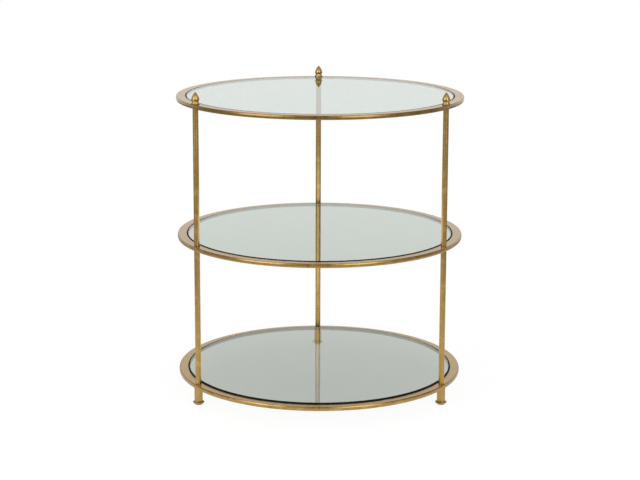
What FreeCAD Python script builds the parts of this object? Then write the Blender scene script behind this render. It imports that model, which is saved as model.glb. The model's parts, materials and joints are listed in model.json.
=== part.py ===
import FreeCAD, Part
import math
import os
import re
import Sketcher

# Three-tier round side table: three rebated metal rings, each carrying a loose glass
# pane on a black glazing strip, held apart by three tube posts that clamp the rings
# between them on threaded studs. Origin on the floor below the table's centre, +Z up
# and the two front posts towards -Y.

# Driving dimensions in millimetres and degrees.
SIZES = (
    ("ring_diameter", 560, "outside diameter of a ring, at the crown of its rim"),
    ("ring_width", 18, "width of a ring's top face and rim together"),
    ("ring_depth", 8, "height of a ring"),
    ("rim_bulge", 1.0, "how far the rim's crown stands out from its edges"),
    ("rim_rounding", 0.5, "rounding of the rim's edges"),
    ("rebate_bevel", 0.4, "bevel on the rebate's upper edge"),
    ("ledge_width", 4, "how far the ledge stands in from the rebate"),
    ("rebate_depth", 6, "from a ring's top face down to its ledge"),
    ("tier_pitch", 272.5, "from one ring to the next"),
    ("floor_gap", 34, "floor to the underside of the bottom ring"),
    ("back_post_angle", 90, "direction of the back post, counted from +X"),
    ("post_diameter", 11, "outside diameter of a post tube"),
    ("post_wall", 1.2, "wall of a post tube"),
    ("plug_length", 14, "length of a threaded plug in a tube's end"),
    ("stud_diameter", 6, "outside diameter of a joining stud"),
    ("stud_grip", 9, "thread length of a stud in each piece it holds"),
    ("stud_relief", 1, "free depth beyond the stud's end in a blind hole"),
    ("thread_clearance", 0.05, "radial clearance of a stud in its thread"),
    ("plug_clearance", 0.05, "radial clearance of a plug in its tube"),
    ("ring_hole_clearance", 0.3, "radial clearance of a stud in a ring's hole"),
    ("glass_thickness", 5, "thickness of a pane"),
    ("glass_arris", 0.6, "bevel on a pane's edges"),
    ("glass_clearance", 0.3, "radial clearance between a pane and its strip"),
    ("strip_wall", 1.2, "thickness of the strip around a pane's edge"),
    ("strip_lip", 1.2, "how far the strip's foot reaches under a pane"),
    ("strip_clearance", 0.3, "radial clearance between a strip and its rebate"),
    ("top_rise", 0, "how far the top pane stands above its ring"),
    ("middle_rise", 1.0, "how far the middle pane stands above its ring"),
    ("bottom_rise", 2.2, "how far the bottom pane stands above its ring"),
    ("finial_height", 22.6, "height of a finial above the top ring"),
    ("finial_base_diameter", 16.4, "widest diameter at a finial's base"),
    ("finial_base_edge", 0.8, "upright edge of a finial's base"),
    ("finial_waist_diameter", 12.2, "diameter of a finial's waist"),
    ("finial_waist_level", 5.2, "height of a finial's waist"),
    ("finial_shoulder_diameter", 16.2, "widest diameter of a finial's head"),
    ("finial_shoulder_level", 9.0, "height of the widest part of a finial's head"),
    ("finial_head_radius", 30, "radius of the pointed head's outline"),
    ("finial_tip_diameter", 1.0, "flat at the very tip of a finial"),
    ("foot_diameter", 16, "diameter of a foot's shank"),
    ("foot_rim_diameter", 22.4, "diameter of the rim near a foot's end"),
    ("foot_rim_level", 4.2, "height of the rim's lower edge above a foot's end"),
    ("foot_rim_edge", 1.4, "upright edge of the rim"),
    ("foot_flare_height", 2.2, "height of the hollow flare above the rim"),
    ("foot_end_diameter", 13, "diameter of a foot's flat end"),
    ("glide_diameter", 9, "diameter of the pad in a foot's end"),
    ("glide_thickness", 2, "thickness of that pad"),
    ("glide_show", 0.5, "how far the pad stands out of the foot"),
    ("glide_clearance", 0.1, "radial clearance of the pad in its recess"),
)

CORNERS = ("back", "front_left", "front_right")
TIERS = ("bottom", "middle", "top")

# Formulas worked out from the driving dimensions.
RING_OUTER = "(ring_diameter / 2)"
REBATE_RADIUS = f"({RING_OUTER} - ring_width)"
RIM_CURVE = "((ring_depth ^ 2 / 4 + rim_bulge ^ 2) / (2 * rim_bulge))"
RIM_CENTRE = f"({RING_OUTER} - {RIM_CURVE})"
ROUNDING_REACH = f"sqrt(({RIM_CURVE} - rim_rounding) ^ 2 - (ring_depth / 2 - rim_rounding) ^ 2)"
ROUNDING_SHARE = f"({RIM_CURVE} / ({RIM_CURVE} - rim_rounding))"
RIM_FLAT_RADIUS = f"({RIM_CENTRE} + {ROUNDING_REACH})"
RIM_CROWN_RADIUS = f"({RIM_CENTRE} + {ROUNDING_REACH} * {ROUNDING_SHARE})"
RIM_CROWN_LEVEL = f"(ring_depth / 2 - (ring_depth / 2 - rim_rounding) * {ROUNDING_SHARE})"
LEDGE_RADIUS = f"({REBATE_RADIUS} - ledge_width)"
LEDGE_LEVEL = "(ring_depth - rebate_depth)"
POST_CIRCLE = f"({RING_OUTER} - ring_width / 2)"
STRIP_OUTER = f"({REBATE_RADIUS} - strip_clearance)"
STRIP_INNER = f"({STRIP_OUTER} - strip_wall)"
GLASS_RADIUS = f"({STRIP_INNER} - glass_clearance)"
STRIP_TOE = f"({GLASS_RADIUS} - strip_lip)"
POST_LENGTH = "(tier_pitch - ring_depth)"
TUBE_BORE = "(post_diameter / 2 - post_wall)"
THREAD_RADIUS = "(stud_diameter / 2 + thread_clearance)"
RING_HOLE_RADIUS = "(stud_diameter / 2 + ring_hole_clearance)"
STUD_LENGTH = "(2 * stud_grip + ring_depth)"
BLIND_DEPTH = "(stud_grip + stud_relief)"
FOOT_LENGTH = "(floor_gap - glide_show)"
GLIDE_RECESS = "(glide_thickness - glide_show)"

doc = FreeCAD.newDocument("TieredSideTable")
sheet = doc.addObject("Spreadsheet::Sheet", "Sizes")
nodes = []


def fill_sheet():
    """One row for each driving dimension: value with its alias, then its meaning."""
    for row, (alias, value, meaning) in enumerate(SIZES, start=1):
        sheet.set(f"A{row}", str(value))
        sheet.setAlias(f"A{row}", alias)
        sheet.set(f"B{row}", meaning)
    doc.recompute()


def linked(formula):
    """The formula with each driving dimension read from the sheet."""
    names = {alias for alias, value, meaning in SIZES}
    return re.sub(r"[a-z_]+", lambda word: f"Sizes.{word[0]}" if word[0] in names else word[0], formula)


def value_of(formula):
    return float(sheet.evalExpression(linked(formula)))


def bind(target, **formulas):
    for name, formula in formulas.items():
        target.setExpression(name, linked(formula))


def move_to(target, east="0", north="0", level="0"):
    """Places an object by three formulas."""
    for axis, formula in (("x", east), ("y", north), ("z", level)):
        target.setExpression(f".Placement.Base.{axis}", linked(formula))


def ring_level(tier):
    """Underside of a tier's ring above the floor."""
    return f"(floor_gap + {TIERS.index(tier)} * tier_pitch)"


def ledge_level(tier):
    """Top of a tier's ledge above the floor."""
    return f"({ring_level(tier)} + {LEDGE_LEVEL})"


def strip_foot(tier):
    """Thickness of the strip's foot, which sets how proud the pane stands."""
    return f"(rebate_depth - glass_thickness + {tier}_rise)"


def corner_angle(corner):
    return f"(back_post_angle + {CORNERS.index(corner)} * 360 / {len(CORNERS)})"


def corner_point(corner):
    """Formulas for a post's centre seen from above."""
    angle = corner_angle(corner)
    return f"{POST_CIRCLE} * cos({angle})", f"{POST_CIRCLE} * sin({angle})"


def origin_feature(body, role):
    return next(item for item in body.Origin.OriginFeatures if item.Role == role)


def new_body(name):
    body = doc.addObject("PartDesign::Body", name)
    body.Label = name
    return body


def new_sketch(body, name, plane):
    sketch = body.newObject("Sketcher::SketchObject", name)
    sketch.AttachmentSupport = (origin_feature(body, plane), [""])
    sketch.MapMode = "FlatFace"
    return sketch


def pin_point(sketch, element, end, across, up):
    """Fixes one end of a sketch element at two formulas, counted from the origin."""
    for formula, kind, axis in ((across, "DistanceX", -2), (up, "DistanceY", -1)):
        if formula == "0":
            sketch.addConstraint(Sketcher.Constraint("PointOnObject", element, end, axis))
            continue
        distance = value_of(formula)
        index = sketch.addConstraint(Sketcher.Constraint(kind, -1, 1, element, end, distance))
        sketch.setExpression(f"Constraints[{index}]", linked(formula))


def add_arc(sketch, first, last, radius, turn):
    """Adds the arc and says which of its ends lies at first and which at last."""
    chord = last - first
    sagitta = radius - math.sqrt(radius ** 2 - chord.Length ** 2 / 4)
    outward = FreeCAD.Vector(chord.y, -chord.x, 0).normalize() * turn
    middle = (first + last) / 2 + outward * sagitta
    element = sketch.addGeometry(Part.Arc(first, middle, last), False)
    starts_first = (sketch.getPoint(element, 1) - first).Length < (sketch.getPoint(element, 1) - last).Length
    return (element, 1, 2) if starts_first else (element, 2, 1)


def add_profile(body, name, corners):
    """A closed outline in the body's XZ plane.

    Each corner is (radius, height) or (radius, height, curve, turn): with a curve, the
    edge to the next corner is an arc of that radius, bulging right or left of its way.
    """
    sketch = new_sketch(body, name, "XZ_Plane")
    points = [FreeCAD.Vector(value_of(corner[0]), value_of(corner[1]), 0) for corner in corners]
    edges = []
    for index, corner in enumerate(corners):
        first, last = points[index], points[(index + 1) % len(points)]
        if len(corner) > 2:
            element, start, end = add_arc(sketch, first, last, value_of(corner[2]), corner[3])
        else:
            element, start, end = sketch.addGeometry(Part.LineSegment(first, last), False), 1, 2
        edges.append((element, start, end))
    for index, (element, start, end) in enumerate(edges):
        following, its_start, its_end = edges[(index + 1) % len(edges)]
        sketch.addConstraint(Sketcher.Constraint("Coincident", element, end, following, its_start))
    for corner, (element, start, end) in zip(corners, edges):
        pin_point(sketch, element, start, corner[0], corner[1])
        if len(corner) > 2:
            index = sketch.addConstraint(Sketcher.Constraint("Radius", element, value_of(corner[2])))
            sketch.setExpression(f"Constraints[{index}]", linked(corner[2]))
    return sketch


def add_circle(sketch, radius, across="0"):
    """A circle at a distance along the sketch's X axis."""
    centre = FreeCAD.Vector(value_of(across), 0, 0)
    circle = Part.Circle(centre, FreeCAD.Vector(0, 0, 1), value_of(radius))
    element = sketch.addGeometry(circle, False)
    if across == "0":
        sketch.addConstraint(Sketcher.Constraint("Coincident", element, 3, -1, 1))
    else:
        pin_point(sketch, element, 3, across, "0")
    index = sketch.addConstraint(Sketcher.Constraint("Radius", element, value_of(radius)))
    sketch.setExpression(f"Constraints[{index}]", linked(radius))


def revolve(body, name, corners):
    profile = add_profile(body, f"{name}_profile", corners)
    turned = body.newObject("PartDesign::Revolution", name)
    turned.Profile = profile
    turned.ReferenceAxis = (profile, ["V_Axis"])
    turned.Angle = 360
    profile.Visibility = False
    doc.recompute()
    return turned


def cut_round(body, name, radius, depth=None, upwards=True, across="0", start=None):
    """Pockets a round hole along Z from the body's floor or from a level above it."""
    before = body.Tip.Shape.Volume
    sketch = new_sketch(body, f"{name}_circle", "XY_Plane")
    add_circle(sketch, radius, across)
    if start:
        sketch.setExpression(".AttachmentOffset.Base.z", linked(start))
    pocket = body.newObject("PartDesign::Pocket", name)
    pocket.Profile = sketch
    pocket.Reversed = upwards
    if depth:
        bind(pocket, Length=depth)
    else:
        pocket.Type = "ThroughAll"
    doc.recompute()
    if pocket.Shape.Volume >= before:
        raise RuntimeError(f"{body.Label}: {name} cuts nothing")
    return pocket


def keep(body):
    nodes.append(body)


def make_ring(tier):
    """A rebated ring with a crowned rim, a ledge for the pane and a hole at each post."""
    ring = new_body(f"{tier}_ring")
    revolve(ring, f"{tier}_ring_band", (
        (LEDGE_RADIUS, "0"),
        (RIM_FLAT_RADIUS, "0", "rim_rounding", 1),
        (RIM_CROWN_RADIUS, RIM_CROWN_LEVEL, RIM_CURVE, 1),
        (RIM_CROWN_RADIUS, f"ring_depth - {RIM_CROWN_LEVEL}", "rim_rounding", 1),
        (RIM_FLAT_RADIUS, "ring_depth"),
        (f"{REBATE_RADIUS} + rebate_bevel", "ring_depth"),
        (REBATE_RADIUS, "ring_depth - rebate_bevel"),
        (REBATE_RADIUS, LEDGE_LEVEL),
        (LEDGE_RADIUS, LEDGE_LEVEL),
    ))
    hole = cut_round(ring, f"{tier}_ring_hole", RING_HOLE_RADIUS, across=POST_CIRCLE)
    pattern = ring.newObject("PartDesign::PolarPattern", f"{tier}_ring_holes")
    pattern.Originals = [hole]
    pattern.Axis = (origin_feature(ring, "Z_Axis"), [""])
    pattern.Angle = 360
    pattern.Occurrences = len(CORNERS)
    ring.Tip = pattern
    ring.setExpression(".Placement.Rotation.Angle", linked("back_post_angle"))
    move_to(ring, level=ring_level(tier))
    keep(ring)


def make_strip(tier):
    """Black glazing strip: an upright wall round the pane's edge on a foot below it."""
    strip = new_body(f"{tier}_glazing_strip")
    seat = strip_foot(tier)
    revolve(strip, f"{tier}_strip_band", (
        (STRIP_TOE, "0"),
        (STRIP_OUTER, "0"),
        (STRIP_OUTER, f"{seat} + glass_thickness"),
        (STRIP_INNER, f"{seat} + glass_thickness"),
        (STRIP_INNER, seat),
        (STRIP_TOE, seat),
    ))
    move_to(strip, level=ledge_level(tier))
    keep(strip)


def make_pane(tier):
    """Round pane with bevelled edges, resting on its strip."""
    pane = new_body(f"{tier}_glass_pane")
    revolve(pane, f"{tier}_pane_disc", (
        ("0", "0"),
        (f"{GLASS_RADIUS} - glass_arris", "0"),
        (GLASS_RADIUS, "glass_arris"),
        (GLASS_RADIUS, "glass_thickness - glass_arris"),
        (f"{GLASS_RADIUS} - glass_arris", "glass_thickness"),
        ("0", "glass_thickness"),
    ))
    move_to(pane, level=f"{ledge_level(tier)} + {strip_foot(tier)}")
    keep(pane)


def make_post(corner, storey, tier):
    """Tube that stands on a tier's ring and carries the next one."""
    post = new_body(f"{storey}_post_{corner}")
    sketch = new_sketch(post, f"{storey}_post_{corner}_section", "XY_Plane")
    add_circle(sketch, "post_diameter / 2")
    add_circle(sketch, TUBE_BORE)
    pad = post.newObject("PartDesign::Pad", f"{storey}_post_{corner}_tube")
    pad.Profile = sketch
    bind(pad, Length=POST_LENGTH)
    east, north = corner_point(corner)
    move_to(post, east, north, f"{ring_level(tier)} + ring_depth")
    keep(post)


def make_finial(corner):
    """Turned finial: flared base, waist and pointed head, bored for its stud."""
    finial = new_body(f"finial_{corner}")
    revolve(finial, f"finial_{corner}_turning", (
        ("0", "0"),
        ("finial_base_diameter / 2", "0"),
        ("finial_base_diameter / 2", "finial_base_edge"),
        ("finial_waist_diameter / 2", "finial_waist_level"),
        ("finial_shoulder_diameter / 2", "finial_shoulder_level", "finial_head_radius", 1),
        ("finial_tip_diameter / 2", "finial_height"),
        ("0", "finial_height"),
    ))
    cut_round(finial, f"finial_{corner}_thread", THREAD_RADIUS, BLIND_DEPTH)
    east, north = corner_point(corner)
    move_to(finial, east, north, f"{ring_level('top')} + ring_depth")
    keep(finial)


def make_foot(corner):
    """Turned foot: plain shank, hollow flare, rim and tapered end with a pad recess."""
    foot = new_body(f"foot_{corner}")
    rim_top = "foot_rim_level + foot_rim_edge"
    revolve(foot, f"foot_{corner}_turning", (
        ("0", "0"),
        ("foot_end_diameter / 2", "0"),
        ("foot_rim_diameter / 2", "foot_rim_level"),
        ("foot_rim_diameter / 2", rim_top),
        ("foot_diameter / 2", f"{rim_top} + foot_flare_height"),
        ("foot_diameter / 2", FOOT_LENGTH),
        ("0", FOOT_LENGTH),
    ))
    recess_radius = "glide_diameter / 2 + glide_clearance"
    cut_round(foot, f"foot_{corner}_recess", recess_radius, GLIDE_RECESS)
    cut_round(foot, f"foot_{corner}_thread", THREAD_RADIUS, BLIND_DEPTH, upwards=False, start=FOOT_LENGTH)
    east, north = corner_point(corner)
    move_to(foot, east, north, "glide_show")
    keep(foot)


def make_glide(corner):
    """Pad in a foot's end: the piece that stands on the floor."""
    glide = new_body(f"glide_{corner}")
    sketch = new_sketch(glide, f"glide_{corner}_circle", "XY_Plane")
    add_circle(sketch, "glide_diameter / 2")
    pad = glide.newObject("PartDesign::Pad", f"glide_{corner}_disc")
    pad.Profile = sketch
    bind(pad, Length="glide_thickness")
    east, north = corner_point(corner)
    move_to(glide, east, north)
    keep(glide)


def cylinder(name, radius, length, corner, level):
    solid = doc.addObject("Part::Cylinder", name)
    bind(solid, Radius=radius, Height=length)
    east, north = corner_point(corner)
    move_to(solid, east, north, level)
    return solid


def group_of(name, pieces):
    """Identical fasteners in one node, each a solid of its own."""
    group = doc.addObject("Part::Compound", name)
    group.Label = name
    group.Links = pieces
    keep(group)


def make_studs(tier):
    """One stud through each hole of a tier's ring."""
    level = f"{ring_level(tier)} - stud_grip"
    studs = [cylinder(f"{tier}_stud_{corner}", "stud_diameter / 2", STUD_LENGTH, corner, level)
             for corner in CORNERS]
    group_of(f"{tier}_joining_studs", studs)


def make_plugs(storey, end, level):
    """One threaded plug in the same end of each tube of a storey."""
    plugs = []
    for corner in CORNERS:
        name = f"{storey}_{end}_plug_{corner}"
        blank = cylinder(f"{name}_blank", f"{TUBE_BORE} - plug_clearance", "plug_length", corner, level)
        thread = cylinder(f"{name}_thread", THREAD_RADIUS, "plug_length", corner, level)
        plug = doc.addObject("Part::Cut", name)
        plug.Base = blank
        plug.Tool = thread
        plugs.append(plug)
    group_of(f"{storey}_post_{end}_plugs", plugs)


def make_storey(storey, tier):
    """The posts above a tier's ring, with a plug in each end."""
    for corner in CORNERS:
        make_post(corner, storey, tier)
    foot_of_post = f"{ring_level(tier)} + ring_depth"
    make_plugs(storey, "bottom", foot_of_post)
    make_plugs(storey, "top", f"{foot_of_post} + {POST_LENGTH} - plug_length")


def check_document():
    """Stops when an object failed or a sub-part is not a valid solid."""
    doc.recompute()
    failed = [item.Name for item in doc.Objects if {"Invalid", "Error"} & set(item.State)]
    if failed:
        raise RuntimeError(f"failed objects: {failed}")
    for node in nodes:
        if node.Shape.isNull() or not node.Shape.isValid():
            raise RuntimeError(f"{node.Label}: no valid shape")


def write_parts():
    os.makedirs("parts", exist_ok=True)
    for node in nodes:
        node.Shape.exportStep(os.path.join("parts", f"{node.Label}.step"))
        box = node.Shape.BoundBox
        print(f"{node.Label}: {len(node.Shape.Solids)} solid(s), {node.Shape.Volume:.1f} mm3, "
              f"z {box.ZMin:.2f} to {box.ZMax:.2f}")


fill_sheet()
for tier_name in TIERS:
    make_ring(tier_name)
    make_strip(tier_name)
    make_pane(tier_name)
    make_studs(tier_name)
make_storey("lower", "bottom")
make_storey("upper", "middle")
for corner_name in CORNERS:
    make_finial(corner_name)
    make_foot(corner_name)
    make_glide(corner_name)
check_document()
write_parts()
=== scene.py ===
import json
import math
import bmesh
import bpy
from mathutils import Matrix, Vector


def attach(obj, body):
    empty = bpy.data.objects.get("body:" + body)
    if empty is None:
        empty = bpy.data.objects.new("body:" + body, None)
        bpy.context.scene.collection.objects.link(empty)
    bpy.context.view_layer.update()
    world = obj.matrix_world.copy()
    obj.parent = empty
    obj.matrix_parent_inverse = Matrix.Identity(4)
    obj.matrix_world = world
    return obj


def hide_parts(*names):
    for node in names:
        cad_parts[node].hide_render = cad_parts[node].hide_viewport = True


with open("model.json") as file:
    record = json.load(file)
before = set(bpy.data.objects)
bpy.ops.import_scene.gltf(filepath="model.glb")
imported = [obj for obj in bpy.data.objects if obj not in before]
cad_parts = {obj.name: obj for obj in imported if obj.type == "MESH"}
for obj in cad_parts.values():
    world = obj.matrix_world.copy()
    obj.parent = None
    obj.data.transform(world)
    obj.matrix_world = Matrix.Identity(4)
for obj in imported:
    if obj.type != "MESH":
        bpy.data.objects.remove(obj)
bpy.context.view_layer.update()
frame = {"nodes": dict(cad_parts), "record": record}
print("frame loaded:", len(frame["nodes"]), "nodes")

mm = 0.001
tiers = ("bottom", "middle", "top")
corners = ("back", "front_left", "front_right")
storeys = {"lower": "bottom", "upper": "middle"}   # the tier that each storey's posts stand on

# the table's main sizes, in millimetres as all the outlines are
table = {"ringRadius": 280, "ringDepth": 8, "postCircle": 271, "floorGap": 34, "pitch": 272.5}
ringLevels = {tier: table["floorGap"] + i * table["pitch"] for i, tier in enumerate(tiers)}
ringTops = {tier: level + table["ringDepth"] for tier, level in ringLevels.items()}


camera = {
    "place": (-0.0392, -3.3150, 1.0490),
    "lookDown": 11.518,   # degrees, as are the next two
    "turnRight": 0.687,
    "roll": 0.193,
    "lens": 96.47,
    "sensor": 36,         # millimetres, as is the lens
    "shiftY": -0.06,
    "farEnd": 60,
}


def placeCamera(spec):
    data = bpy.data.cameras.new("tableCamera")
    data.lens = spec["lens"]
    data.sensor_width = spec["sensor"]
    data.shift_y = spec["shiftY"]
    data.clip_end = spec["farEnd"]
    holder = bpy.data.objects.new("tableCamera", data)
    bpy.context.scene.collection.objects.link(holder)
    turn = Matrix.Rotation(-math.radians(spec["turnRight"]), 4, "Z")
    tilt = Matrix.Rotation(math.radians(90 - spec["lookDown"]), 4, "X")
    roll = Matrix.Rotation(math.radians(spec["roll"]), 4, "Z")
    holder.matrix_world = Matrix.Translation(spec["place"]) @ turn @ tilt @ roll
    bpy.context.scene.camera = holder


placeCamera(camera)


# small helpers for node trees
def addNode(tree, kind, **settings):
    node = tree.nodes.new(kind)
    for name, value in settings.items():
        setattr(node, name, value)
    return node


def plug(tree, source, target):
    # a socket is linked, anything else is written as the input's own value
    if isinstance(source, bpy.types.NodeSocket):
        tree.links.new(source, target)
    else:
        target.default_value = source


def sums(tree, operation, first, second=0.0, clamp=False):
    node = addNode(tree, "ShaderNodeMath", operation=operation, use_clamp=clamp)
    plug(tree, first, node.inputs[0])
    plug(tree, second, node.inputs[1])
    return node.outputs[0]


def remap(tree, value, low, high, toLow=0.0, toHigh=1.0, smooth=False):
    node = addNode(tree, "ShaderNodeMapRange")
    if smooth:
        node.interpolation_type = "SMOOTHSTEP"
    for name, given in (("Value", value), ("From Min", low), ("From Max", high),
                        ("To Min", toLow), ("To Max", toHigh)):
        plug(tree, given, node.inputs[name])
    return node.outputs["Result"]


def lengthOf(tree, vector):
    node = addNode(tree, "ShaderNodeVectorMath", operation="LENGTH")
    plug(tree, vector, node.inputs[0])
    return node.outputs["Value"]


def blendColours(tree, factor, first, second):
    node = addNode(tree, "ShaderNodeMix", data_type="RGBA")
    plug(tree, factor, node.inputs["Factor"])
    plug(tree, first, node.inputs["A"])
    plug(tree, second, node.inputs["B"])
    return node.outputs["Result"]


def cloudiness(tree, scale, detail, roughness, stretch=(1, 1, 1)):
    # soft noise on the piece's own coordinates; the scale is per metre
    place = addNode(tree, "ShaderNodeTexCoord")
    mapping = addNode(tree, "ShaderNodeMapping")
    plug(tree, place.outputs["Object"], mapping.inputs["Vector"])
    plug(tree, stretch, mapping.inputs["Scale"])
    noise = addNode(tree, "ShaderNodeTexNoise")
    plug(tree, mapping.outputs["Vector"], noise.inputs["Vector"])
    plug(tree, scale, noise.inputs["Scale"])
    plug(tree, detail, noise.inputs["Detail"])
    plug(tree, roughness, noise.inputs["Roughness"])
    return noise.outputs["Fac"]


def newMaterial(name):
    material = bpy.data.materials.new(name)
    material.use_nodes = True
    tree = material.node_tree
    return material, tree, tree.nodes["Principled BSDF"]


def addBump(tree, shader, height, distance, strength):
    bump = addNode(tree, "ShaderNodeBump")
    plug(tree, height, bump.inputs["Height"])
    plug(tree, distance, bump.inputs["Distance"])
    plug(tree, strength, bump.inputs["Strength"])
    plug(tree, bump.outputs["Normal"], shader.inputs["Normal"])


antiqueGold = {
    "leaf": (0.565, 0.345, 0.088, 1),
    "rubbed": (0.65, 0.45, 0.165, 1),
    # the dark of the patina's patches and specks, and of the outlines' painted shade
    "patinaAndShade": (0.17, 0.095, 0.028, 1),
    "patches": {"scale": 70, "detail": 4, "roughness": 0.6},   # clouds of tone
    "specks": {"scale": 520, "detail": 3, "roughness": 0.65},
    # the noise's values where rubbing or darkening starts and is full, and how dark it then is
    "rubbedAt": (0.50, 0.70),
    "darkPatches": {"start": 0.46, "full": 0.30, "most": 0.28},
    "darkSpecks": {"start": 0.43, "full": 0.30, "most": 0.4},
    "patchShare": 0.6,             # of the roughness; the rest comes from the specks
    "grainRange": (0.35, 0.65),
    "roughness": (0.24, 0.37),
    "bump": {"distance": 0.00006, "strength": 0.35},
    "lacquer": 0.42,               # clear coat over the leaf
    "lacquerIor": 1.7,
    "lacquerRough": 0.12,
    "edgeShine": (0.86, 0.87, 0.90, 1),   # the metal seen at a flat angle
}


def darkening(tree, noise, spec):
    return remap(tree, noise, spec["start"], spec["full"], 0.0, spec["most"], smooth=True)


def makeAntiqueGold(spec):
    material, tree, shader = newMaterial("antiqueGoldLeaf")
    patches = cloudiness(tree, **spec["patches"])
    specks = cloudiness(tree, **spec["specks"])
    rub = remap(tree, patches, *spec["rubbedAt"], smooth=True)
    colour = blendColours(tree, rub, spec["leaf"], spec["rubbed"])
    # the darker of patches and specks, and on top of it the painted shade that the outline's tone gives
    darkPatches = darkening(tree, patches, spec["darkPatches"])
    darkSpecks = darkening(tree, specks, spec["darkSpecks"])
    tone = addNode(tree, "ShaderNodeAttribute", attribute_name="paintedShadeTone").outputs["Fac"]
    dark = sums(tree, "ADD", sums(tree, "MAXIMUM", darkPatches, darkSpecks), tone, clamp=True)
    plug(tree, blendColours(tree, dark, colour, spec["patinaAndShade"]), shader.inputs["Base Color"])
    grain = sums(tree, "ADD", sums(tree, "MULTIPLY", patches, spec["patchShare"]),
                 sums(tree, "MULTIPLY", specks, 1.0 - spec["patchShare"]))
    plug(tree, remap(tree, grain, *spec["grainRange"], *spec["roughness"]), shader.inputs["Roughness"])
    plug(tree, 1.0, shader.inputs["Metallic"])
    plug(tree, spec["edgeShine"], shader.inputs["Specular Tint"])
    plug(tree, spec["lacquer"], shader.inputs["Coat Weight"])
    plug(tree, spec["lacquerIor"], shader.inputs["Coat IOR"])
    plug(tree, spec["lacquerRough"], shader.inputs["Coat Roughness"])
    addBump(tree, shader, specks, **spec["bump"])
    return material


paneGlass = {
    "tint": (0.35, 0.497, 0.374, 1),
    "density": 96,              # how strongly it takes light off, per metre
    "ior": 1.5,
    "smears": {"scale": 7, "detail": 5, "roughness": 0.6, "stretch": (1, 3, 1)},
    "smearRange": (0.45, 0.8),
    "roughness": (0.0, 0.02),   # clean, and where it is smeared
}


def makePaneGlass(spec):
    material, tree, shader = newMaterial("greyFloatGlass")
    plug(tree, (1, 1, 1, 1), shader.inputs["Base Color"])
    plug(tree, 1.0, shader.inputs["Transmission Weight"])
    plug(tree, spec["ior"], shader.inputs["IOR"])
    smears = cloudiness(tree, **spec["smears"])
    smeared = remap(tree, smears, *spec["smearRange"], *spec["roughness"], smooth=True)
    plug(tree, smeared, shader.inputs["Roughness"])
    inside = addNode(tree, "ShaderNodeVolumeAbsorption")
    plug(tree, spec["tint"], inside.inputs["Color"])
    plug(tree, spec["density"], inside.inputs["Density"])
    plug(tree, inside.outputs["Volume"], tree.nodes["Material Output"].inputs["Volume"])
    return material


rubbers = {
    "blackStrip": {
        "dark": (0.006, 0.006, 0.006, 1),
        "dusty": (0.016, 0.016, 0.015, 1),
        "dust": {"scale": 240, "detail": 4, "roughness": 0.7},
        "roughness": (0.55, 0.75),
        "shine": 0.25,
        # painted reflection: the strip's foot under the pane is tan, so that the pane's edge shows a brown
        # band as from the ring's gold ledge
        "ledgeReflectionTan": (0.36, 0.25, 0.13, 1),   # the foot under the pane, out to the pane's edge
        "ledgeReflectionRadius": 260.4,
    },
    "floorPad": {
        "dark": (0.03, 0.028, 0.026, 1),
        "dusty": (0.07, 0.066, 0.06, 1),
        "dust": {"scale": 500, "detail": 4, "roughness": 0.7},
        "roughness": (0.7, 0.9),
        "shine": 0.3,
    },
}
rubberDust = {   # the same on both
    "colourRange": (0.4, 0.7),
    "roughRange": (0.3, 0.7),
    "bump": {"distance": 0.00005, "strength": 0.3},
}


def makeRubber(name, spec):
    material, tree, shader = newMaterial(name)
    dust = cloudiness(tree, **spec["dust"])
    dusty = remap(tree, dust, *rubberDust["colourRange"], smooth=True)
    colour = blendColours(tree, dusty, spec["dark"], spec["dusty"])
    # the painted reflection's tan, on the strip inside the pane's edge
    if "ledgeReflectionTan" in spec:
        flat = addNode(tree, "ShaderNodeVectorMath", operation="MULTIPLY")
        plug(tree, addNode(tree, "ShaderNodeTexCoord").outputs["Object"], flat.inputs[0])
        plug(tree, (1, 1, 0), flat.inputs[1])
        inside = sums(tree, "LESS_THAN", lengthOf(tree, flat.outputs["Vector"]), spec["ledgeReflectionRadius"] * mm)
        colour = blendColours(tree, inside, colour, spec["ledgeReflectionTan"])
    plug(tree, colour, shader.inputs["Base Color"])
    plug(tree, remap(tree, dust, *rubberDust["roughRange"], *spec["roughness"]), shader.inputs["Roughness"])
    plug(tree, spec["shine"], shader.inputs["Specular IOR Level"])
    addBump(tree, shader, dust, **rubberDust["bump"])
    return material


zincSteel = {
    "bright": (0.62, 0.62, 0.60, 1),
    "dull": (0.42, 0.43, 0.43, 1),
    "spangle": {"scale": 900, "detail": 2, "roughness": 0.5, "stretch": (1, 1, 0.3)},
    "spangleRange": (0.3, 0.7),
    "roughness": (0.28, 0.5),
    "bump": {"distance": 0.00002, "strength": 0.2},
}


def makeZinc(spec):
    material, tree, shader = newMaterial("zincPlatedSteel")
    spangle = cloudiness(tree, **spec["spangle"])
    plug(tree, blendColours(tree, spangle, spec["dull"], spec["bright"]), shader.inputs["Base Color"])
    plug(tree, 1.0, shader.inputs["Metallic"])
    plug(tree, remap(tree, spangle, *spec["spangleRange"], *spec["roughness"]), shader.inputs["Roughness"])
    addBump(tree, shader, spangle, **spec["bump"])
    return material


gold = makeAntiqueGold(antiqueGold)
finishes = {
    "antique_gold": gold,
    "pane_glass": makePaneGlass(paneGlass),
    "glazing_strip": makeRubber("blackStrip", rubbers["blackStrip"]),
    "floor_pad": makeRubber("floorPad", rubbers["floorPad"]),
    "zinc_steel": makeZinc(zincSteel),
}
for part in frame["record"]["subparts"]:
    frame["nodes"][part["node"]].material_slots[0].material = finishes[part["material_slot"]]
print("materials made:", len(finishes))


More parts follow.
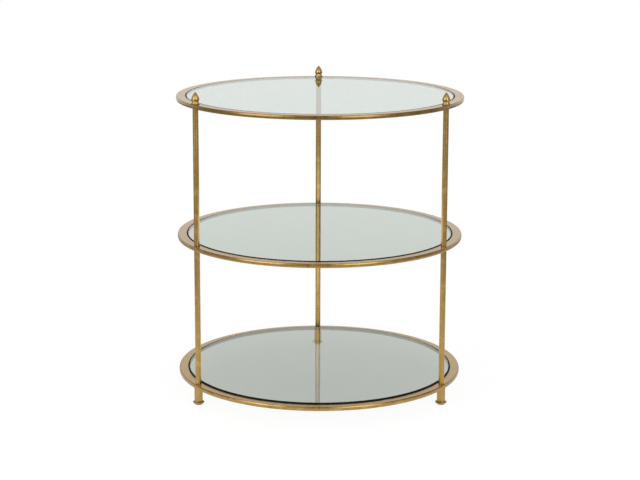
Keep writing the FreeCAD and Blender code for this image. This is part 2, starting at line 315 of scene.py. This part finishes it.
# one tree makes all the turned and swept metal: an outline, drawn as radius and height, is
# carried round an axis, and the result is set down at each post, or once for a ring
turning = {
    "axisOffset": 0.02,     # the sweep's own circle, in metres as the next distances are
    "roundingPoints": 3,
    "mergeWithin": 0.000004,
    "weldWithin": 0.000002,
    "sharpAngle": 38,       # degrees; softer edges are shaded smooth
}


def socket(tree, name, kind, default=None, way="INPUT"):
    item = tree.interface.new_socket(name=name, in_out=way, socket_type=kind)
    if default is not None:
        item.default_value = default


def sweepOutline(tree, given):
    outline = addNode(tree, "GeometryNodeMeshToCurve")
    plug(tree, given["Geometry"], outline.inputs["Mesh"])
    rounded = addNode(tree, "GeometryNodeFilletCurve", mode="POLY")
    plug(tree, outline.outputs["Curve"], rounded.inputs["Curve"])
    plug(tree, given["Edge Rounding"], rounded.inputs["Radius"])
    plug(tree, True, rounded.inputs["Limit Radius"])
    plug(tree, turning["roundingPoints"], rounded.inputs["Count"])
    path = addNode(tree, "GeometryNodeCurvePrimitiveCircle", mode="RADIUS")
    plug(tree, given["Segments"], path.inputs["Resolution"])
    plug(tree, turning["axisOffset"], path.inputs["Radius"])
    upright = addNode(tree, "GeometryNodeSetCurveNormal", mode="Z_UP")
    plug(tree, path.outputs["Curve"], upright.inputs["Curve"])
    swept = addNode(tree, "GeometryNodeCurveToMesh")
    plug(tree, upright.outputs["Curve"], swept.inputs["Curve"])
    plug(tree, rounded.outputs["Curve"], swept.inputs["Profile Curve"])
    merged = addNode(tree, "GeometryNodeMergeByDistance")
    plug(tree, swept.outputs["Mesh"], merged.inputs["Geometry"])
    plug(tree, turning["mergeWithin"], merged.inputs["Distance"])
    return merged.outputs["Geometry"]


def smoothSoftEdges(tree, shape):
    angle = addNode(tree, "GeometryNodeInputMeshEdgeAngle")
    soft = addNode(tree, "FunctionNodeCompare", operation="LESS_THAN")
    plug(tree, angle.outputs["Unsigned Angle"], soft.inputs["A"])
    plug(tree, math.radians(turning["sharpAngle"]), soft.inputs["B"])
    edges = addNode(tree, "GeometryNodeSetShadeSmooth", domain="EDGE")
    plug(tree, shape, edges.inputs["Geometry"])
    plug(tree, soft.outputs["Result"], edges.inputs["Shade Smooth"])
    faces = addNode(tree, "GeometryNodeSetShadeSmooth", domain="FACE")
    plug(tree, edges.outputs["Geometry"], faces.inputs["Geometry"])
    return faces.outputs["Geometry"]


def copyRound(tree, given, shape):
    # one point for each copy, on a circle round the table's axis
    row = addNode(tree, "GeometryNodeMeshLine")
    plug(tree, given["Copies"], row.inputs["Count"])
    plug(tree, (0, 0, 0), row.inputs["Offset"])
    step = sums(tree, "DIVIDE", 2 * math.pi, given["Copies"])
    turned = sums(tree, "MULTIPLY", addNode(tree, "GeometryNodeInputIndex").outputs[0], step)
    turned = sums(tree, "ADD", turned, given["First Angle"])
    spot = addNode(tree, "ShaderNodeCombineXYZ")
    for axis, operation in (("X", "COSINE"), ("Y", "SINE")):
        along = sums(tree, "MULTIPLY", sums(tree, operation, turned), given["Circle Radius"])
        plug(tree, along, spot.inputs[axis])
    plug(tree, given["Height"], spot.inputs["Z"])
    placed = addNode(tree, "GeometryNodeSetPosition")
    plug(tree, row.outputs["Mesh"], placed.inputs["Geometry"])
    plug(tree, spot.outputs["Vector"], placed.inputs["Position"])
    facing = addNode(tree, "ShaderNodeCombineXYZ")
    plug(tree, turned, facing.inputs["Z"])
    copies = addNode(tree, "GeometryNodeInstanceOnPoints")
    plug(tree, placed.outputs["Geometry"], copies.inputs["Points"])
    plug(tree, shape, copies.inputs["Instance"])
    plug(tree, facing.outputs["Vector"], copies.inputs["Rotation"])
    real = addNode(tree, "GeometryNodeRealizeInstances")
    plug(tree, copies.outputs["Instances"], real.inputs["Geometry"])
    return real.outputs["Geometry"]


def makeTurningTree():
    tree = bpy.data.node_groups.new("turnedOutline", "GeometryNodeTree")
    socket(tree, "Geometry", "NodeSocketGeometry")
    socket(tree, "Segments", "NodeSocketInt")
    socket(tree, "Edge Rounding", "NodeSocketFloat")
    socket(tree, "Copies", "NodeSocketInt", len(corners))
    socket(tree, "Circle Radius", "NodeSocketFloat", table["postCircle"] * mm)
    socket(tree, "First Angle", "NodeSocketFloat", math.pi / 2)
    socket(tree, "Height", "NodeSocketFloat")
    socket(tree, "Metal", "NodeSocketMaterial")
    socket(tree, "Geometry", "NodeSocketGeometry", way="OUTPUT")
    given = addNode(tree, "NodeGroupInput").outputs
    shape = smoothSoftEdges(tree, sweepOutline(tree, given))
    dressed = addNode(tree, "GeometryNodeSetMaterial")
    plug(tree, copyRound(tree, given, shape), dressed.inputs["Geometry"])
    plug(tree, given["Metal"], dressed.inputs["Material"])
    plug(tree, dressed.outputs["Geometry"], addNode(tree, "NodeGroupOutput").inputs["Geometry"])
    return tree


turningTree = makeTurningTree()


def outlineMesh(name, outline, closed):
    # outline: (radius, height, tone) as a chain of edges beside the axis; the sweep carries the
    # chain's Y down, so heights go in negative
    mesh = bpy.data.meshes.new(name)
    points = [(radius * mm - turning["axisOffset"], -height * mm, 0) for radius, height, tone in outline]
    edges = [(i, i + 1) for i in range(len(points) - 1)]
    if closed:
        edges.append((len(points) - 1, 0))
    mesh.from_pydata(points, edges, [])
    # the tones go on the points as painted shade
    tones = mesh.attributes.new("paintedShadeTone", "FLOAT", "POINT")
    tones.data.foreach_set("value", [tone for radius, height, tone in outline])
    return mesh


def faceOutwards(piece):
    work = bmesh.new()
    work.from_mesh(piece.data)
    bmesh.ops.remove_doubles(work, verts=work.verts, dist=turning["weldWithin"])
    bmesh.ops.recalc_face_normals(work, faces=work.faces)
    work.to_mesh(piece.data)
    work.free()


def turnPiece(name, outline, spec, level, replaced, closed=False, **others):
    host = bpy.data.objects.new(name, outlineMesh(name, outline, closed))
    bpy.context.scene.collection.objects.link(host)
    modifier = host.modifiers.new("turning", "NODES")
    modifier.node_group = turningTree
    wanted = {"Segments": spec["segments"], "Edge Rounding": spec["rounding"] * mm,
              "Height": level * mm, "Metal": gold, **others}
    for item in turningTree.interface.items_tree:
        if item.in_out == "INPUT" and item.name in wanted:
            modifier[item.identifier] = wanted[item.name]
    bpy.context.view_layer.update()
    made = bpy.data.meshes.new_from_object(host.evaluated_get(bpy.context.evaluated_depsgraph_get()))
    made.name = name
    bpy.data.objects.remove(host)
    piece = bpy.data.objects.new(name, made)
    bpy.context.scene.collection.objects.link(piece)
    faceOutwards(piece)
    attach(piece, "frame")
    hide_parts(*replaced)


def arcBetween(first, last, radius, steps, tone):
    # points of an arc that bulges to the right of its way, without its ends
    ax, az = first
    bx, bz = last
    dx, dz = bx - ax, bz - az
    chord = math.hypot(dx, dz)
    rise = math.sqrt(radius ** 2 - chord ** 2 / 4)
    cx = (ax + bx) / 2 - dz / chord * rise
    cz = (az + bz) / 2 + dx / chord * rise
    start = math.atan2(az - cz, ax - cx)
    sweep = math.atan2(bz - cz, bx - cx) - start
    return [(cx + radius * math.cos(start + sweep * i / steps),
             cz + radius * math.sin(start + sweep * i / steps), tone) for i in range(1, steps)]


# a tone says how much painted shade a point of an outline gets, from 0 to 1, darkening edges, ends, joins
# and hollows;
# below 0 it takes some of the dark patches away
ring = {
    "width": 18,
    "bulge": 1.0,
    "bevel": 0.4,
    "ledge": 4,
    "rebate": 6,
    "rounding": 0.5,
    "segments": 256,
    "rimSteps": 10,
    # the painted shade at an edge fades out over these widths
    "edgeFade": 1.5,     # how far in from an edge its darkening goes
    "bevelFade": 0.8,
    # painted shade on the rim's face, darker on the higher rings and most on the top one
    "paintedRimShade": {"bottom": 0.04, "middle": 0.14, "top": 0.4},
    # painted shade at the rim's edges, on the bevel, and in the rebate under the pane
    "tones": {"toe": 0.1, "lowerEdge": 0.5, "underUpperEdge": 0.4, "upperEdge": 0.8, "bevel": 0.4,
              "wall": 0.6, "ledge": 0.8, "ledgeEdge": 0.5},
}


def ringOutline(spec, paintedRimShade):
    outer, depth = table["ringRadius"], table["ringDepth"]
    bevel, tones = spec["bevel"], spec["tones"]
    edge = outer - spec["bulge"]
    inner = outer - spec["width"]
    toe = inner - spec["ledge"]
    ledgeTop = depth - spec["rebate"]
    curve = (depth ** 2 / 4 + spec["bulge"] ** 2) / (2 * spec["bulge"])
    rim = arcBetween((edge, 0), (edge, depth), curve, spec["rimSteps"], paintedRimShade)
    rim[-1] = (*rim[-1][:2], paintedRimShade + tones["underUpperEdge"])
    return [(toe, 0, tones["toe"]),
            (edge - spec["edgeFade"], 0, 0.0),
            (edge, 0, tones["lowerEdge"]),
            *rim,
            (edge, depth, tones["upperEdge"]),
            (edge - spec["edgeFade"], depth, 0.0),
            (inner + bevel + spec["bevelFade"], depth, 0.0),
            (inner + bevel, depth, tones["bevel"]),
            (inner, depth - bevel, tones["wall"]),
            (inner, ledgeTop, tones["ledge"]),
            (toe, ledgeTop, tones["ledgeEdge"])]


def makeRings(spec):
    middle = {"Copies": 1, "Circle Radius": 0.0, "First Angle": 0.0}
    for tier, level in ringLevels.items():
        outline = ringOutline(spec, spec["paintedRimShade"][tier])
        turnPiece(f"{tier}RingBand", outline, spec, level, [f"{tier}_ring"], closed=True, **middle)


post = {
    "diameter": 11,
    "wall": 1.2,
    "rounding": 0.2,
    "segments": 48,
    # painted shade at the cut ends, where the tubes meet the rings, thins out over these lengths
    "nearEnd": 1.0,      # how far in from a cut end its darkening has thinned
    "clearOfEnd": 4.0,   # and where it is gone
    "tones": {"cut": 0.5, "end": 0.55, "nearEnd": 0.25, "tube": -0.12},
}


def makePosts(spec):
    outside, tones = spec["diameter"] / 2, spec["tones"]
    length = table["pitch"] - table["ringDepth"]
    lowerEnd = [(outside - spec["wall"], 0, tones["cut"]),
                (outside, 0, tones["end"]),
                (outside, spec["nearEnd"], tones["nearEnd"]),
                (outside, spec["clearOfEnd"], tones["tube"])]
    upperEnd = [(radius, length - height, tone) for radius, height, tone in reversed(lowerEnd)]
    for storey, tier in storeys.items():
        turnPiece(f"{storey}Posts", lowerEnd + upperEnd, spec, ringTops[tier],
                  [f"{storey}_post_{corner}" for corner in corners], closed=True)


finial = {
    "height": 22.6,
    "base": 16.4,
    "baseEdge": 0.8,
    "waist": 12.2,
    "waistLevel": 5.2,
    "waistEase": (0.5, 0.9),   # how far out and down the cove's last bend is from the waist
    "shoulder": 16.2,
    "shoulderLevel": 9.0,
    "headCurve": 30,
    "headSteps": 9,
    "tip": 1.0,
    "segments": 48,
    "rounding": 0.5,
    # painted shade where the finial sits on the ring; the head is a little darker all over
    "tones": {"base": 0.5, "baseEdge": 0.2, "head": 0.1},
}


def makeFinials(spec):
    base, waist, shoulder, tip = (spec[key] / 2 for key in ("base", "waist", "shoulder", "tip"))
    easeOut, easeDown = spec["waistEase"]
    height, tones = spec["height"], spec["tones"]
    outline = [(0, 0, tones["base"]),
               (base, 0, tones["base"]),
               (base, spec["baseEdge"], tones["baseEdge"]),
               (waist + easeOut, spec["waistLevel"] - easeDown, 0.0),
               (waist, spec["waistLevel"], 0.0),
               (shoulder, spec["shoulderLevel"], tones["head"]),
               *arcBetween((shoulder, spec["shoulderLevel"]), (tip, height), spec["headCurve"],
                           spec["headSteps"], tones["head"]),
               (tip, height, tones["head"]),
               (0, height, 0.0)]
    turnPiece("finials", outline, spec, ringTops["top"], [f"finial_{corner}" for corner in corners])


foot = {
    "padDepth": 0.5,      # the pad stands this far out below the foot
    "shank": 16,
    "rim": 22.4,
    "rimLevel": 4.2,
    "rimEdge": 1.4,
    "flare": 2.2,
    "end": 13,
    "recess": 9.2,
    "recessDepth": 1.5,
    "segments": 48,
    "rounding": 0.5,
    # painted shade at the foot's ends, its rim, the recess underneath and where the top meets the ring; it
    # fades along the shank over these lengths
    "lowFade": 2,         # how far up and down the shank its ends' darkening goes
    "topFade": 2.5,
    "tones": {"recess": 0.6, "recessEdge": 0.4, "end": 0.3, "rimLow": 0.25, "rimTop": 0.3, "flare": 0.35,
              "shank": -0.12, "topEdge": 0.5, "top": 0.4},
}


def makeFeet(spec):
    shank, rim, end, recess = (spec[key] / 2 for key in ("shank", "rim", "end", "recess"))
    length = table["floorGap"] - spec["padDepth"]
    tones = spec["tones"]
    rimTop = spec["rimLevel"] + spec["rimEdge"]
    flareTop = rimTop + spec["flare"]
    outline = [(0, spec["recessDepth"], tones["recess"]),
               (recess, spec["recessDepth"], tones["recess"]),
               (recess, 0, tones["recessEdge"]),
               (end, 0, tones["end"]),
               (rim, spec["rimLevel"], tones["rimLow"]),
               (rim, rimTop, tones["rimTop"]),
               (shank, flareTop, tones["flare"]),
               (shank, flareTop + spec["lowFade"], tones["shank"]),
               (shank, length - spec["topFade"], tones["shank"]),
               (shank, length, tones["topEdge"]),
               (0, length, tones["top"])]
    turnPiece("feet", outline, spec, spec["padDepth"], [f"foot_{corner}" for corner in corners])


makeRings(ring)
makePosts(post)
makeFinials(finial)
makeFeet(foot)
print("metal pieces made")


studioFloor = {
    "radius": 3.5,
    "segments": 96,
    "colour": (0.90, 0.90, 0.90, 1),
    "plainLevel": 1.06,         # 1 is white
    # how much of the floor is plain light, for each kind of ray
    "plainShare": {"Is Camera Ray": 0.88, "Is Glossy Ray": 0.8, "Is Transmission Ray": 0.8},
    "shadeLevel": 0.55,         # the floor under the table, seen through its glass
    "shadeColour": (1, 0.957, 0.895, 1),
    "glossShade": 0.65,         # how much of that shade the metal sees
    "dimRange": (0.55, 1.3),    # metres from the middle, over which the metal sees it get dimmer
    "backLevel": 0.3,           # what is left of it there, behind the table
    "frontLevel": 0.2,
    "backToFront": (0.5, -0.2),   # metres in Y, where the back ends and the front starts
}


def makeFloorMaterial(spec):
    material = bpy.data.materials.new("paleFloor")
    material.use_nodes = True
    tree = material.node_tree
    tree.nodes.clear()
    rays = addNode(tree, "ShaderNodeLightPath").outputs
    here = addNode(tree, "ShaderNodeTexCoord").outputs["Object"]
    place = addNode(tree, "ShaderNodeSeparateXYZ")
    plug(tree, here, place.inputs[0])
    distance = lengthOf(tree, here)
    # a ray that goes through glass counts as glossy too
    mirrored = sums(tree, "SUBTRACT", rays["Is Glossy Ray"], rays["Is Transmission Ray"], clamp=True)
    # the metal sees the floor dimmer away from the table
    away = remap(tree, distance, *spec["dimRange"], smooth=True)
    ahead = remap(tree, place.outputs["Y"], *spec["backToFront"],
                  1.0 - spec["backLevel"], 1.0 - spec["frontLevel"], smooth=True)
    dimmer = sums(tree, "MULTIPLY", mirrored, sums(tree, "MULTIPLY", away, ahead))
    # the glass, and less so the metal, see it shaded near the table
    shaded = sums(tree, "MAXIMUM", rays["Is Transmission Ray"],
                  sums(tree, "MULTIPLY", mirrored, spec["glossShade"]))
    shade = remap(tree, distance, 0.0, spec["radius"], 1.0 - spec["shadeLevel"], 0.0)
    shade = sums(tree, "MULTIPLY", shaded, shade)
    plain = addNode(tree, "ShaderNodeEmission")
    plug(tree, blendColours(tree, shade, (1, 1, 1, 1), spec["shadeColour"]), plain.inputs["Color"])
    level = sums(tree, "SUBTRACT", spec["plainLevel"], sums(tree, "MAXIMUM", dimmer, shade))
    plug(tree, level, plain.inputs["Strength"])
    # a little is left to the real light, so that the shadow stays
    lit = addNode(tree, "ShaderNodeBsdfDiffuse")
    plug(tree, spec["colour"], lit.inputs["Color"])
    share = 0.0
    for ray, amount in spec["plainShare"].items():
        share = sums(tree, "MAXIMUM", share, sums(tree, "MULTIPLY", rays[ray], amount))
    mixed = addNode(tree, "ShaderNodeMixShader")
    plug(tree, share, mixed.inputs["Fac"])
    plug(tree, lit.outputs[0], mixed.inputs[1])
    plug(tree, plain.outputs[0], mixed.inputs[2])
    plug(tree, mixed.outputs[0], addNode(tree, "ShaderNodeOutputMaterial").inputs["Surface"])
    return material


def makeFloor(spec):
    mesh = bpy.data.meshes.new("studioFloor")
    work = bmesh.new()
    bmesh.ops.create_circle(work, cap_ends=True, segments=spec["segments"], radius=spec["radius"])
    work.to_mesh(mesh)
    work.free()
    mesh.materials.append(makeFloorMaterial(spec))
    floor = bpy.data.objects.new("studioFloor", mesh)
    bpy.context.scene.collection.objects.link(floor)


# what the metal sees of the room; the camera and the glass see plain white
studioRoom = {
    "backLevel": 1.0,               # low down
    "frontLevel": 0.28,
    "backToFront": (0.85, 0.1),     # Y of the ray's way, where the back ends and the front starts
    "ceilingLevel": 0.55,
    "lowToCeiling": (0.15, 0.52),   # its Z, where low down ends and the ceiling starts
}


def makeWorld(spec):
    world = bpy.data.worlds.new("studioWorld")
    bpy.context.scene.world = world
    world.use_nodes = True
    tree = world.node_tree
    tree.nodes.clear()
    rays = addNode(tree, "ShaderNodeLightPath").outputs
    way = addNode(tree, "ShaderNodeSeparateXYZ")
    plug(tree, addNode(tree, "ShaderNodeTexCoord").outputs["Generated"], way.inputs[0])
    low = remap(tree, way.outputs["Y"], *spec["backToFront"],
                spec["backLevel"], spec["frontLevel"], smooth=True)
    room = addNode(tree, "ShaderNodeMix", data_type="FLOAT")
    plug(tree, remap(tree, way.outputs["Z"], *spec["lowToCeiling"], smooth=True), room.inputs["Factor"])
    plug(tree, low, room.inputs["A"])
    plug(tree, spec["ceilingLevel"], room.inputs["B"])
    seen = sums(tree, "MAXIMUM", rays["Is Camera Ray"], rays["Is Transmission Ray"])
    background = addNode(tree, "ShaderNodeBackground")
    plug(tree, (1, 1, 1, 1), background.inputs["Color"])
    plug(tree, sums(tree, "MAXIMUM", room.outputs["Result"], seen), background.inputs["Strength"])
    plug(tree, background.outputs[0], addNode(tree, "ShaderNodeOutputWorld").inputs["Surface"])


# places and sizes in metres, powers in watts; an azimuth turns from the front to the right
lamps = {
    # large ones to the left and right of the camera, which don't light the panes
    "softboxes": {
        "softboxLeft": {"azimuth": -47, "distance": 4.2, "height": 1.80, "size": (2.75, 3.2), "power": 54},
        "softboxRight": {"azimuth": 32, "distance": 4.2, "height": 1.80, "size": (2.2, 3.2), "power": 44},
    },
    "finialLight": {"azimuth": -4, "distance": 2.2, "height": 2.3, "size": (0.9, 1.2), "power": 3.4},
    "aim": (0, 0, 0.35),   # where those three point
    # these light only the posts: a dim card between the front ones, turned to the back one, and
    # discs that face up, for the light that the panes throw up on them
    "nearPosts": {
        "backPostCard": {"place": (-0.06, -0.125, 0.175), "tilt": 90, "size": (0.32, 0.25), "power": 0.33},
        "bottomPaneGlow": {"place": (0, 0, 0.048), "tilt": 180, "size": (0.50, 0.50), "power": 0.22,
                           "shape": "DISK"},
        "middlePaneGlow": {"place": (0, 0, 0.319), "tilt": 180, "size": (0.50, 0.50), "power": 0.43,
                           "shape": "DISK"},
    },
}


def linkingList(name, objects, state):
    linked = bpy.data.collections.new(name)
    for thing in objects:
        linked.objects.link(thing)
    for entry in linked.collection_objects:
        entry.light_linking.link_state = state
    return linked


def makeLamp(name, spec, linked):
    data = bpy.data.lights.new(name, "AREA")
    data.shape = spec.get("shape", "RECTANGLE")
    data.size, data.size_y = spec["size"]
    data.energy = spec["power"]
    lamp = bpy.data.objects.new(name, data)
    bpy.context.scene.collection.objects.link(lamp)
    lamp.light_linking.receiver_collection = linked
    return lamp


def makeAimedLamp(name, spec, linked):
    lamp = makeLamp(name, spec, linked)
    angle, distance = math.radians(spec["azimuth"]), spec["distance"]
    place = Vector((math.sin(angle) * distance, -math.cos(angle) * distance, spec["height"]))
    lamp.location = place
    lamp.rotation_euler = (Vector(lamps["aim"]) - place).to_track_quat("-Z", "Y").to_euler()


def makeNearLamp(name, spec, linked):
    # it stands among the pieces, so neither the camera nor the glass shows it
    lamp = makeLamp(name, spec, linked)
    lamp.location = spec["place"]
    lamp.rotation_euler = (math.radians(spec["tilt"]), 0, 0)
    lamp.visible_camera = False
    lamp.visible_transmission = False


def lightTable(spec):
    panes = [frame["nodes"][f"{tier}_glass_pane"] for tier in tiers]
    unlitPanes = linkingList("unlitPanes", panes, "EXCLUDE")
    for name, softbox in spec["softboxes"].items():
        makeAimedLamp(name, softbox, unlitPanes)
    posts = [bpy.data.objects[f"{storey}Posts"] for storey in storeys]
    litPosts = linkingList("litPosts", posts, "INCLUDE")
    for name, nearLamp in spec["nearPosts"].items():
        makeNearLamp(name, nearLamp, litPosts)
    litFinials = linkingList("litFinials", [bpy.data.objects["finials"]], "INCLUDE")
    makeAimedLamp("finialLight", spec["finialLight"], litFinials)


makeFloor(studioFloor)
makeWorld(studioRoom)
lightTable(lamps)
bpy.context.scene.view_settings.view_transform = "Standard"
print("studio made")
